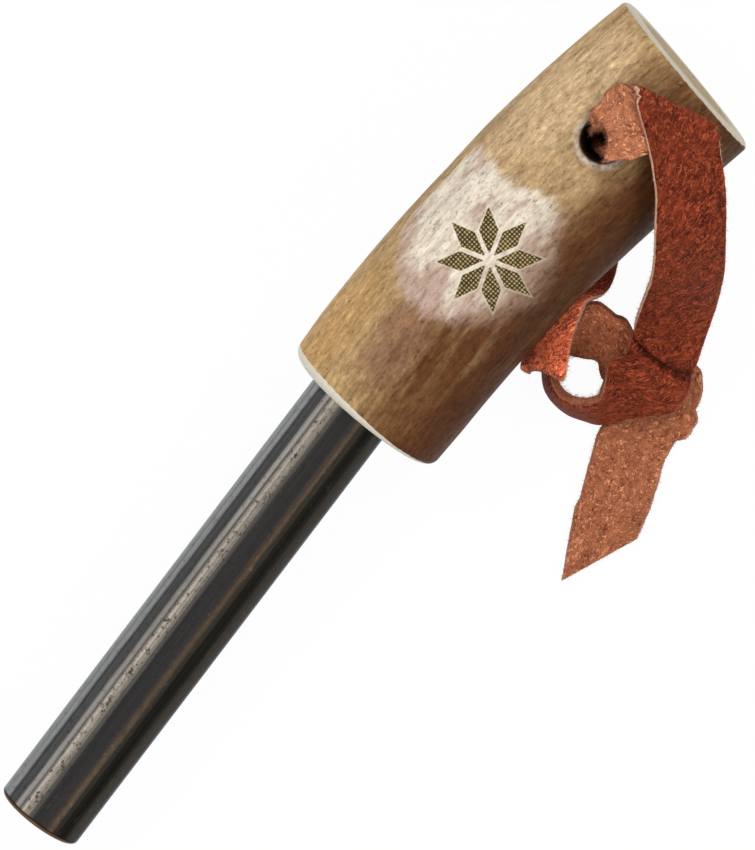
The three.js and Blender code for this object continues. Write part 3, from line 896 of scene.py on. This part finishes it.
def star_edge(settings, flat, lowest):
    """How far outside the star's petals places are, in millimetres: under 0 inside, and FAR below the lowest."""
    radius = settings.star_radius / MM
    u, v = flat[..., 0] - STAR_MIDDLE, flat[..., 1]
    sector = np.round(np.arctan2(v, u) / (math.pi / 4)) * (math.pi / 4)
    x = u * np.cos(sector) + v * np.sin(sector)
    y = np.abs(-u * np.sin(sector) + v * np.cos(sector))
    half = math.pi / 8
    from_side = y * math.cos(half) - x * math.sin(half) + 0.045 * radius
    from_tip = y * math.cos(half) + (x - radius) * math.sin(half)
    return np.where(flat[..., 2] > lowest, np.maximum(from_side, from_tip), FAR)


def patch_edge(along, across):
    """How far outside the scraped patch's edge the places are, in millimetres; inside is under 0."""
    edge = PATCH_EDGE - PATCH_MIDDLE
    turned = np.arctan2(edge[:, 1], edge[:, 0])
    order = np.argsort(turned)
    turned, reach = turned[order], np.hypot(edge[:, 0], edge[:, 1])[order]
    along, across = along - PATCH_MIDDLE[0], across - PATCH_MIDDLE[1]
    limit = np.interp(np.arctan2(across, along), turned, reach, period=2 * math.pi)
    return np.hypot(along, across) - limit


def rim_steps(round_off):
    angle = np.linspace(0, math.pi / 2, 12, endpoint=False)
    return round_off * (1 - np.cos(angle)), round_off * (1 - np.sin(angle))


def make_handle(settings, rod, material):
    # stations along the handle and angles around it, closest over the star
    star_start, star_end = (STAR_MIDDLE - 6) * MM, (STAR_MIDDLE + 6) * MM
    start_along, start_inset = rim_steps(settings.rod_rim)
    end_along, end_inset = rim_steps(settings.butt_rim)
    plain = np.concatenate([
        np.linspace(settings.rod_rim, star_start, 40, endpoint=False),
        np.linspace(star_start, star_end, 110, endpoint=False),
        np.linspace(star_end, settings.length - settings.butt_rim, 60),
    ])
    distance = np.concatenate([start_along, plain, settings.length - end_along[::-1]])
    inset = np.concatenate([start_inset, np.zeros_like(plain), end_inset[::-1]])
    over_star = np.linspace(math.radians(48), math.radians(132), 130, endpoint=False)
    angle = np.concatenate([over_star, np.linspace(math.radians(132), math.radians(408), 150, endpoint=False)])
    count = len(angle)
    skin = handle_skin(settings, *np.meshgrid(distance, angle, indexing="ij"), inset[:, None])
    outside = star_edge(settings, along_handle(settings, skin), 4)
    skin[..., 2] -= settings.star_depth * eased(0.5 - outside / 0.16)

    # the sawn faces, with the blind hole for the rod and its drilled end
    bore = rod.diameter / 2 + 0.38 * MM
    depth = rod.length - rod.reach + 0.68 * MM
    first, last = skin[0], skin[-1]
    circle = np.stack([np.zeros(count), bore * np.cos(angle), bore * np.sin(angle)], -1)
    circle[:, 0] = np.interp(circle[:, 1], np.sort(first[:, 1]), first[np.argsort(first[:, 1]), 0])
    inner = [first * (1 - part) + circle * part for part in (1.0, 0.7, 0.35)]
    shares = ((depth + bore / math.tan(math.radians(59)), 0.001), (depth, 1), (depth * 0.5, 1), (1.0 * MM, 1))
    wall = [circle * (0, narrow, narrow) + (reached, 0, 0) for reached, narrow in shares]
    middle = last.mean(0)
    outer = [last * (1 - part) + middle * part for part in (0.12, 0.3, 0.55, 0.8, 0.999)]
    handle = loft("antler_grip", [rested(ring) for ring in (*wall, *inner, *skin, *outer)])

    cut_from(handle, cross_drill(settings))
    mesh = handle.data
    mesh.materials.clear()
    mesh.materials.append(material)
    mesh.polygons.foreach_set("use_smooth", [True] * len(mesh.polygons))
    mesh.set_sharp_from_angle(angle=math.radians(38))
    write_handle_fields(settings, mesh)
    return handle


def cross_drill(settings):
    """A turned cutter for the cross hole, flared where its mouths are worn."""
    mouth = settings.depth / 2 * share_at(DEPTH_SHARES, settings.hole_from / settings.length)
    radius, wear = settings.hole / 2, settings.hole_wear
    half = [(radius + wear + 3 * MM, mouth + 3 * MM)]
    for t in np.linspace(0, math.pi / 2, 8):
        half.append((radius + wear * (1 - math.sin(t)), mouth - wear * math.sin(t)))
    profile = half + [(r, -h) for r, h in reversed(half)]
    hole = np.array((settings.hole_from, settings.hole_aside, 0))
    return loft("cross_drill", [rested(ring + hole) for ring in lathe(profile, 96)])


def write_handle_fields(settings, mesh):
    """Fields that the antler's material reads: places along the grain and distances from its features."""
    places = np.zeros(len(mesh.vertices) * 3)
    mesh.vertices.foreach_get("co", places)
    places = unrested(places.reshape(-1, 3))
    flat = along_handle(settings, places)
    write_field(mesh, "grain_place", *flat.T)
    x, y, _ = places.T / MM
    patch = np.where(flat[:, 2] > 3, patch_edge(flat[:, 0], flat[:, 1]), FAR)
    from_hole = np.hypot(x - settings.hole_from / MM, y - settings.hole_aside / MM)
    write_field(mesh, "marks", star_edge(settings, flat, 3), patch, from_hole)
    slant, lean = settings.rod_slant, settings.butt_lean
    from_rod_face = x * math.cos(slant) - (y - settings.offset / MM) * math.sin(slant)
    at, ahead, _ = bend(settings, np.array([settings.length]))
    normal = ahead[0] * math.cos(lean) - np.array((0, 0, 1)) * math.sin(lean)
    from_butt = (at[0] - places) / MM @ normal
    core = np.hypot(flat[:, 1] / (settings.width / 2 / MM), flat[:, 2] / (settings.depth / 2 / MM))
    write_field(mesh, "ends", from_rod_face, from_butt, core)


def antler(settings):
    made, tree, shader = new_material("polished antler")
    place = field(tree, "grain_place")
    along, across, above = parts_of(place)
    star, patch, from_hole = parts_of(field(tree, "marks"))
    rod_face, butt_face, core = parts_of(field(tree, "ends"))

    # skin: ochre on one side to brown on the other, streaked along the grain; the brown side, away from the key lamp,
    # is partly the antler's own colour and partly painted shade
    wide = streaks(place, 0.07, 0.3, 0.3, 0.7)
    middle = streaks(place, 0.2, 1.0, 0.32, 0.68)
    thin = streaks(place, 0.7, 3.2, 0.34, 0.68)
    browner_and_shaded = between(across, 6.5, -6.0) + (wide - 0.5) * 0.55 + (middle - 0.5) * 0.3
    skin = tint(browner_and_shaded, settings.skin, settings.shade)
    # soft patches of paler and darker tone; the two darker ones on the brown side are partly painted shade
    for at, reach, paint, strength in (
        ((38, 6.5, 6), (12, 3.6, 8), (208, 180, 142), 0.85),
        ((33, 1, 8), (6, 4, 8), (190, 162, 122), 0.7),
        ((5, 8.5, 4), (8, 4, 8), (196, 158, 106), 0.85),
        ((9.5, 1.6, 8), (6.5, 3.0, 8), (140, 104, 80), 0.85),
        ((32, -6.5, 7), (9, 4, 8), (94, 56, 28), 0.7),
        ((4, -6, 7), (8, 5, 8), (100, 62, 33), 0.7),
    ):
        skin = tint(soft_patch(place, at, reach) * strength, skin, rgb(*paint))
    # darker towards the far edge of the brown side: partly its own brown, partly painted shade
    skin = tint(between(across, -3.5, -9.0, 0.0, 0.75), skin, rgb(66, 36, 17))
    skin = tint(soft_patch(place, (46.5, -2, 8), (4, 6, 8)) * 0.6, skin, rgb(112, 78, 48))

    # the scraped patch shows cream bone, pink in places, and fades out on its darker side
    smear = stretched(place, (0.45, 1.1, 1.0))
    uneven = (noise(smear, 0.9, 4.0, 0.6) - 0.5) * 3.4
    bare = between(patch + uneven, 0.9, between(across, 2.0, -6.0) * -2.0 - 0.9)
    bare = bare * between(above + uneven, 0.4, 3.0)
    lower = between(along, 21, 14) + between(across, 1, -5) * 0.8
    flush = between(noise(smear, 0.5, 3.0) + lower * 0.22, 0.48, 0.72)
    bone = tint(flush, settings.bone, settings.blush)
    bone = tint(middle * 0.3, bone, rgb(176, 150, 124))
    # the bone darker towards the brown side: partly its own tone, partly painted shade
    bone = tint(between(across, 0.5, -6.0, 0.0, 0.7), bone, rgb(138, 108, 84))
    skin = tint(bare * 0.97, skin, bone)

    # fine streaks and speckle over all of it, a few scratches, and cracks at the butt
    skin = tint(thin * 0.55, skin, (0.64, 0.58, 0.53), "MULTIPLY")
    grain = speckle(place, (0.6, 1.1, 1.1), 5.0)
    for grains, rub in ((grain, 1.0), (speckle(place, (0.35, 1.1, 1.1), 2.4), 0.6)):
        light = between(grains, 0.0, -1.2, 0.0, 0.8) * between(bare, 0, 1, 1.0, 0.4) * rub
        skin = tint(between(grains, 0.0, 1.2) * rub, skin, (0.5, 0.45, 0.4), "MULTIPLY")
        skin = tint(light, skin, (1.56, 1.52, 1.45), "MULTIPLY")
    scratch = scratches(place, 0.9, 0.5, 0.055, 0.6) * between(along, 17, 12) * between(across, -7, -5)
    skin = tint(scratch * 0.8, skin, rgb(226, 214, 200))
    edges = cells(stretched(place, (0.16, 1.6, 1.6)), 0.5, "DISTANCE_TO_EDGE")["Distance"]
    crack = between(edges, 0.02, 0.004) * between(along, 42, 48) * between(noise(smear, 0.7, 1.0), 0.5, 0.6)
    skin = tint(crack * 0.7, skin, rgb(60, 40, 26))

    # worn mouth of the cross hole, and its inside painted dark as shade
    mottle = noise(place, 1.6, 3.0)
    ragged = mottle - 0.5
    worn = between(from_hole + ragged, 3.25, 2.75) * between(mottle, 0.38, 0.6, 0.2, 0.95)
    skin = tint(worn, skin, rgb(212, 204, 192))
    # painted shade inside the cross hole
    skin = tint(between(from_hole, 2.62, 2.34), skin, rgb(46, 28, 20))

    # engraved star: dark olive hatch with lighter threads and a pale halo
    halo = between(star, -0.01, 0.05) * between(star, 0.26, 0.1)
    skin = tint(halo * 0.25, skin, rgb(238, 230, 212))
    engraved = between(star, 0.04, -0.03)
    hatch = sine((along + across) * 9.0) * sine((along - across) * 9.0)
    lit = hatch + ragged * 1.6
    burnt = tint(between(lit, 0.0, 0.6, 0.0, 0.85), settings.burn, rgb(190, 168, 118))
    burnt = tint(between(lit, -0.3, -1.1, 0.0, 0.6), burnt, rgb(46, 38, 24))
    skin = tint(engraved, skin, burnt)

    # sawn faces and worn rims: a dense pale shell round a browner core with pores
    pit = between(cells(place, 1.5) + ragged * 0.9, 0.3, 0.14) * between(core, 0.76, 0.58)
    saw = sine((above + ragged * 0.5) * 9.0)
    sawn = tint(between(core, 0.82, 0.62), rgb(206, 200, 186), rgb(178, 158, 128))
    sawn = tint(mottle * 0.35, sawn, rgb(160, 146, 124))
    sawn = tint(between(saw, 0.2, 1.0, 0.0, 0.16), sawn, rgb(120, 106, 88))
    sawn = tint(pit * 0.8, sawn, rgb(82, 60, 42))
    at_rod = rod_face + ragged * 0.22 - between(across, -8, 8, 0.4, 1.15)
    skin = tint(between(at_rod, 0.05, -0.05), skin, tint(mottle, settings.rim, rgb(208, 200, 184)))
    skin = tint(between(butt_face + ragged * 0.22, 0.32, 0.2), skin, rgb(188, 182, 166))
    faces = larger(between(rod_face, 0.06, 0.03), between(butt_face, 0.1, 0.04))
    skin = tint(faces, skin, sawn)

    polish = between(grain, -1.5, 1.5, 0.42, 0.6) + larger(engraved, faces) * 0.25
    fine = relief(thin * -0.4 + grain * -0.25 + crack * -2.0, 0.00004, 0.6)
    fine = relief(hatch * engraved, 0.00004, 0.8, fine)
    fine = relief((saw * 0.3 + pit * -3.0) * faces, 0.00008, 0.6, fine)
    plug(shader, {"Base Color": skin, "Roughness": polish, "Specular IOR Level": 0.08, "Normal": fine})
    return made


class FIRESTARTER_OT_handle(bpy.types.Operator):
    """Make the antler handle with its scraped patch, engraved star and drilled holes"""

    bl_idname = "fire_starter.handle"
    bl_label = "Antler handle"

    def execute(self, context):
        settings = context.scene.fire_starter_antler
        handle = make_handle(settings, context.scene.fire_starter_rod, antler(settings))
        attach(handle, "handle")
        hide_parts("antler_handle")
        return {"FINISHED"}


# ---------------------------------------------------------------- ferrocerium rod and glue
def make_rod(settings, material):
    radius, round_off = settings.diameter / 2, settings.tip_round
    profile = [(radius * part, 0.0) for part in (0.001, 0.2, 0.45, 0.7, 0.86)]
    for t in np.linspace(0, math.pi / 2, 9):
        profile.append((radius - round_off * (1 - math.sin(t)), round_off * (1 - math.cos(t))))
    profile += [(radius, along) for along in np.linspace(round_off, settings.length, 120)[1:]]
    profile += [(radius * part, settings.length) for part in (0.6, 0.001)]
    rings = [np.roll(ring, 1, 1) - (settings.reach, 0, 0) for ring in lathe(profile, 180)]
    rod = loft("ferrocerium_rod", [rested(ring) for ring in rings], material)
    rod.data.set_sharp_from_angle(angle=math.radians(50))
    write_field(rod.data, "rod_place", *np.concatenate(rings).T / MM)
    return rod


def ferrocerium(settings):
    made, tree, shader = new_material("ground ferrocerium")
    place = field(tree, "rod_place")
    x, y, _ = parts_of(place)
    radius = settings.diameter / 2 / MM
    lines = streaks(place, 0.03, 5.5, 0.3, 0.7)
    broad = streaks(place, 0.03, 1.2, 0.3, 0.7)
    grain = speckle(place, (0.8, 1, 1), 4.5)
    wander = noise(stretched(place, (0.25, 0.8, 0.8)), 1.0)
    share = number("DIVIDE", radius - y, 2 * radius) + (wander - 0.5) * 0.018
    metal = settings.metal
    # painted reflections of the lamps and of the dark between them, in bands along the rod, with some real ground
    # streaks
    for start, end, *paint in ROD_REFLECTION_BANDS:
        band = between(share, start - BAND_SOFTNESS, start + BAND_SOFTNESS)
        band = band * between(share, end + BAND_SOFTNESS, end - BAND_SOFTNESS)
        metal = tint(band, metal, rgb(*paint))
    metal = tint(lines * 0.42, metal, settings.coat)
    metal = tint(broad * 0.12, metal, rgb(84, 76, 66))
    # where the painted highlight of the key lamp lies, whose dark pits show more there
    painted_highlight = between(share, 0.27, 0.30) * between(share, 0.42, 0.39)
    metal = tint(between(grain, 0.1, 0.9) * (painted_highlight * 0.55 + 0.35), metal, settings.coat)
    metal = tint(between(grain, -0.4, -1.6) * 0.14, metal, rgb(150, 142, 130))
    metal = tint(scratches(place, 0.5, 0.3, 0.06, 0.9) * 0.3, metal, rgb(110, 104, 96))

    # the sawn tip, ground in rings, with a brown bloom on its softened edge
    from_tip = x + settings.reach / MM
    rings = sine(vector("LENGTH", stretched(place, (0, 1, 1))) * 26.0)
    face = tint(between(rings, -1, 1), rgb(54, 54, 56), rgb(84, 82, 80))
    face = tint(between(grain, 0.2, 1.6, 0.0, 0.6), face, settings.coat)
    metal = tint(between(from_tip, 0.62, 0.5), metal, settings.coat)
    metal = tint(between(from_tip, 0.46, 0.3, 0.0, 0.85), metal, rgb(112, 80, 54))
    metal = tint(between(from_tip, 0.04, 0.02), metal, face)
    plug(shader, {
        "Base Color": metal,
        "Metallic": 0.9,
        "Roughness": between(grain, -1.5, 1.5, 0.24, 0.34),
        "Specular Tint": (0.6, 0.6, 0.62, 1),
        "Normal": relief(lines * 0.5 + grain * -0.35, 0.000008, 0.6),
    })
    return made


def glue_material():
    made, tree, shader = new_material("cured glue")
    cloud = noise(add("ShaderNodeTexCoord", tree=tree)["Object"], 900.0, 3.0)
    paint = tint(cloud, rgb(22, 20, 16), rgb(52, 46, 36))
    rough = between(cloud, 0.3, 0.7, 0.2, 0.5)
    plug(shader, {"Base Color": paint, "Roughness": rough, "Normal": relief(cloud, 0.00005, 0.6)})
    return made


class FIRESTARTER_OT_rod(bpy.types.Operator):
    """Make the ferrocerium rod, and give the glue around its hidden end its finish"""

    bl_idname = "fire_starter.rod"
    bl_label = "Ferrocerium rod and glue"

    def execute(self, context):
        settings = context.scene.fire_starter_rod
        rod = make_rod(settings, ferrocerium(settings))
        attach(rod, "handle")
        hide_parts("ferro_rod")
        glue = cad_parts["epoxy_bond"]
        glue.data.materials.clear()
        glue.data.materials.append(glue_material())
        return {"FINISHED"}


# ---------------------------------------------------------------- stage
def floor_material(settings):
    """Pale floor. What the camera sees of it is mostly plain white, and the rest keeps the shadow."""
    made, tree, shader = new_material("pale floor")
    plug(shader, {"Base Color": (*settings.floor, 1), "Roughness": 0.9, "Specular IOR Level": 0.1})
    white = add("ShaderNodeEmission", {"Color": (1, 1, 1, 1), "Strength": 1.0}, tree)
    pale = Wire(shader.outputs[0])
    mixed = add("ShaderNodeMixShader", {0: seen_straight(tree) * 0.965, 1: pale, 2: white})
    plug(shader.outputs[0].links[0].to_node, {0: mixed})
    return made


def lamp(name, place, size, watts, tone=(1, 1, 1)):
    """A soft lamp that looks at the middle of the floor."""
    data = bpy.data.lights.new(name, "AREA")
    data.shape, data.size, data.size_y = "RECTANGLE", size[0], size[1]
    data.energy, data.color = watts, tone
    made = bpy.data.objects.new(name, data)
    bpy.context.scene.collection.objects.link(made)
    made.location = place
    made.rotation_mode = "QUATERNION"
    made.rotation_quaternion = Vector(place).to_track_quat("Z", "Y")


class FIRESTARTER_OT_stage(bpy.types.Operator):
    """Lay the pale floor and set the soft lamps"""

    bl_idname = "fire_starter.stage"
    bl_label = "Floor and lamps"

    def execute(self, context):
        settings = context.scene.fire_starter_stage
        rings = lathe([(radius, -0.02 * MM) for radius in (0.001, 0.3, 1, 4)], 96)
        floor = mesh_object("floor", np.concatenate(rings), ring_faces(len(rings), 96), floor_material(settings))

        world = bpy.data.worlds.new("studio")
        context.scene.world = world
        world.use_nodes = True
        tree = world.node_tree
        tree.nodes.clear()
        glow = between(seen_straight(tree), 0, 1, 0.34, 1.0)
        sky = add("ShaderNodeBackground", {"Color": (1, 1, 1, 1), "Strength": glow})
        plug(tree.nodes.new("ShaderNodeOutputWorld"), {0: sky})

        lamp("key_lamp", (0.0, 0.72, 0.98), (1.5, 0.42), settings.key, (1.0, 0.985, 0.96))
        lamp("fill_lamp", (0.0, -0.9, 0.82), (1.5, 0.4), settings.fill, (1.0, 0.97, 0.93))
        lamp("top_lamp", (0.6, -0.3, 1.1), (0.4, 0.4), settings.above)
        lamp("butt_lamp", (1.1, 0.1, 0.9), (0.5, 0.5), settings.ends)
        lamp("tip_lamp", (-1.1, 0.1, 0.9), (0.5, 0.5), settings.ends)
        context.scene.view_settings.view_transform = "Standard"
        return {"FINISHED"}


# ---------------------------------------------------------------- panel and running
OPERATORS = (
    FIRESTARTER_OT_camera,
    FIRESTARTER_OT_lace,
    FIRESTARTER_OT_handle,
    FIRESTARTER_OT_rod,
    FIRESTARTER_OT_stage,
)
SETTINGS = (
    ("fire_starter_antler", AntlerSettings, "Antler handle"),
    ("fire_starter_rod", RodSettings, "Ferrocerium rod"),
    ("fire_starter_lace", LaceSettings, "Leather lace"),
    ("fire_starter_stage", StageSettings, "Floor and lamps"),
)


class FIRESTARTER_PT_panel(bpy.types.Panel):
    """Sizes and colours of the fire starter, and a button for each of its pieces"""

    bl_idname = "FIRESTARTER_PT_panel"
    bl_label = "Fire starter"
    bl_space_type = "VIEW_3D"
    bl_region_type = "UI"
    bl_category = "Fire Starter"

    def draw(self, context):
        for made in OPERATORS:
            self.layout.operator(made.bl_idname)
        for name, kind, label in SETTINGS:
            box = self.layout.box()
            box.label(text=label)
            for key in kind.__annotations__:
                box.prop(getattr(context.scene, name), key)


def register():
    for name, kind, _ in SETTINGS:
        bpy.utils.register_class(kind)
        setattr(bpy.types.Scene, name, bpy.props.PointerProperty(type=kind))
    for made in (*OPERATORS, FIRESTARTER_PT_panel):
        bpy.utils.register_class(made)


def unregister():
    for made in (FIRESTARTER_PT_panel, *reversed(OPERATORS)):
        bpy.utils.unregister_class(made)
    for name, kind, _ in reversed(SETTINGS):
        delattr(bpy.types.Scene, name)
        bpy.utils.unregister_class(kind)


def main():
    register()
    bpy.ops.fire_starter.camera()
    bpy.ops.fire_starter.lace()
    bpy.ops.fire_starter.handle()
    bpy.ops.fire_starter.rod()
    bpy.ops.fire_starter.stage()


if __name__ == "__main__":
    main()
